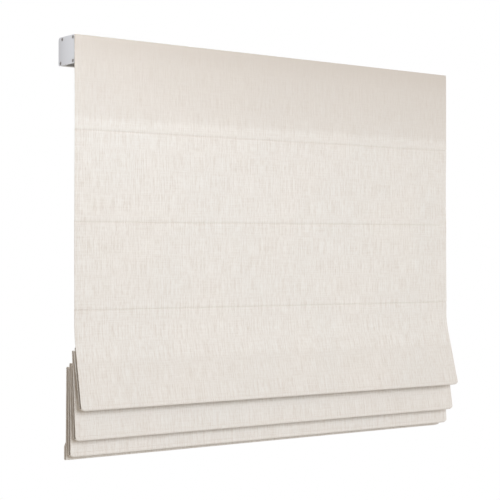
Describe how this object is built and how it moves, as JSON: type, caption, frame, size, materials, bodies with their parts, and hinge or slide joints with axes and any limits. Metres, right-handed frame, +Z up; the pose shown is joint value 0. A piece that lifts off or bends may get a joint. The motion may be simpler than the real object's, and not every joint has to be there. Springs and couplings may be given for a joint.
{
  "type": "roman blind",
  "caption": "Roman blind on a boxed headrail, linen-coloured cloth hung partly raised, with flat sections above and soft stacked pleats below.",
  "frame": {"origin": "middle of the headrail's back face", "axes": "+X along the width, +Y towards the wall, +Z up"},
  "size_m": [0.9, 0.0909, 0.7436],
  "materials": {
    "linen_cloth": "matte",
    "lining_cloth": "matte",
    "tape_white": "matte",
    "rail_aluminium": "satin",
    "rail_plastic": "matte",
    "steel": "satin",
    "bracket_steel": "satin",
    "clear_plastic": "gloss",
    "white_plastic": "satin",
    "dark_plastic": "satin",
    "bar_aluminium": "satin",
    "motor_tube": "satin",
    "rod_fibreglass": "satin",
    "cord_polyester": "matte"
  },
  "bodies": {
    "head": {"headrail": "rail_aluminium", "end_cap_left": "rail_plastic", "end_cap_right": "rail_plastic", "end_cap_screws": "steel", "bracket_left": "bracket_steel", "bracket_right": "bracket_steel", "hook_tape": "tape_white", "loop_tape": "tape_white", "blind_cloth": "linen_cloth", "lift_cord_left": "cord_polyester", "lift_cord_middle": "cord_polyester", "lift_cord_right": "cord_polyester", "spool_cradle_left": "dark_plastic", "spool_cradle_middle": "dark_plastic", "spool_cradle_right": "dark_plastic", "lift_motor": "motor_tube", "motor_saddle_left": "dark_plastic", "motor_saddle_right": "dark_plastic"},
    "drive": {"drive_shaft": "steel", "drive_hub": "dark_plastic", "spool_left": "white_plastic", "spool_middle": "white_plastic", "spool_right": "white_plastic", "cord_turns_left": "cord_polyester", "cord_turns_middle": "cord_polyester", "cord_turns_right": "cord_polyester"},
    "row_1": {"rod_1": "rod_fibreglass", "rod_sleeve_1": "lining_cloth", "cord_rings_1": "clear_plastic"},
    "row_2": {"rod_2": "rod_fibreglass", "rod_sleeve_2": "lining_cloth"},
    "stack": {"rod_3": "rod_fibreglass", "rod_sleeve_3": "lining_cloth", "cord_rings_3": "clear_plastic", "rod_4": "rod_fibreglass", "rod_sleeve_4": "lining_cloth"},
    "row_5": {"rod_5": "rod_fibreglass", "rod_sleeve_5": "lining_cloth", "cord_rings_5": "clear_plastic", "rod_6": "rod_fibreglass", "rod_sleeve_6": "lining_cloth"},
    "row_7": {"rod_7": "rod_fibreglass", "rod_sleeve_7": "lining_cloth", "cord_rings_7": "clear_plastic", "rod_8": "rod_fibreglass", "rod_sleeve_8": "lining_cloth"},
    "hem": {"rod_9": "rod_fibreglass", "rod_sleeve_9": "lining_cloth", "cord_rings_9": "clear_plastic", "cord_locks": "clear_plastic", "hem_bar": "bar_aluminium", "hem_plug_left": "white_plastic", "hem_plug_right": "white_plastic"}
  },
  "joints": [
    {"name": "raise", "type": "slide", "parent": "head", "child": "stack", "axis": [0, 0, 1], "range_m": [0, 0.4], "deforming": ["blind_cloth", "lift_cord_left", "lift_cord_middle", "lift_cord_right"]},
    {"name": "row_1_rises", "type": "slide", "parent": "head", "child": "row_1", "axis": [0, 0, 1], "range_m": [0, 0.10094]},
    {"name": "row_2_rises", "type": "slide", "parent": "head", "child": "row_2", "axis": [0, 0, 1], "range_m": [0, 0.25047]},
    {"name": "shaft_turn", "type": "hinge", "parent": "head", "child": "drive", "pos_m": [0, -0.0294, 0], "axis": [1, 0, 0], "range_deg": [-1980, 0]},
    {"name": "unfold", "type": "slide", "parent": "stack", "child": "row_5", "axis": [0, 0, 1], "range_m": [-0.21, 0], "deforming": ["blind_cloth", "lift_cord_left", "lift_cord_middle", "lift_cord_right"]},
    {"name": "pleat_2_opens", "type": "slide", "parent": "row_5", "child": "row_7", "axis": [0, 0, 1], "range_m": [-0.272, 0]},
    {"name": "pleat_3_opens", "type": "slide", "parent": "row_7", "child": "hem", "axis": [0, 0, 1], "range_m": [-0.316, 0]}
  ],
  "couplings": [
    {"joint": "row_1_rises", "follows": "raise", "ratio": 0.25234},
    {"joint": "row_2_rises", "follows": "raise", "ratio": 0.62617},
    {"joint": "shaft_turn", "follows": "raise", "rad_per_m": -86.207},
    {"joint": "pleat_2_opens", "follows": "unfold", "ratio": 1.2952},
    {"joint": "pleat_3_opens", "follows": "unfold", "ratio": 1.5048}
  ]
}
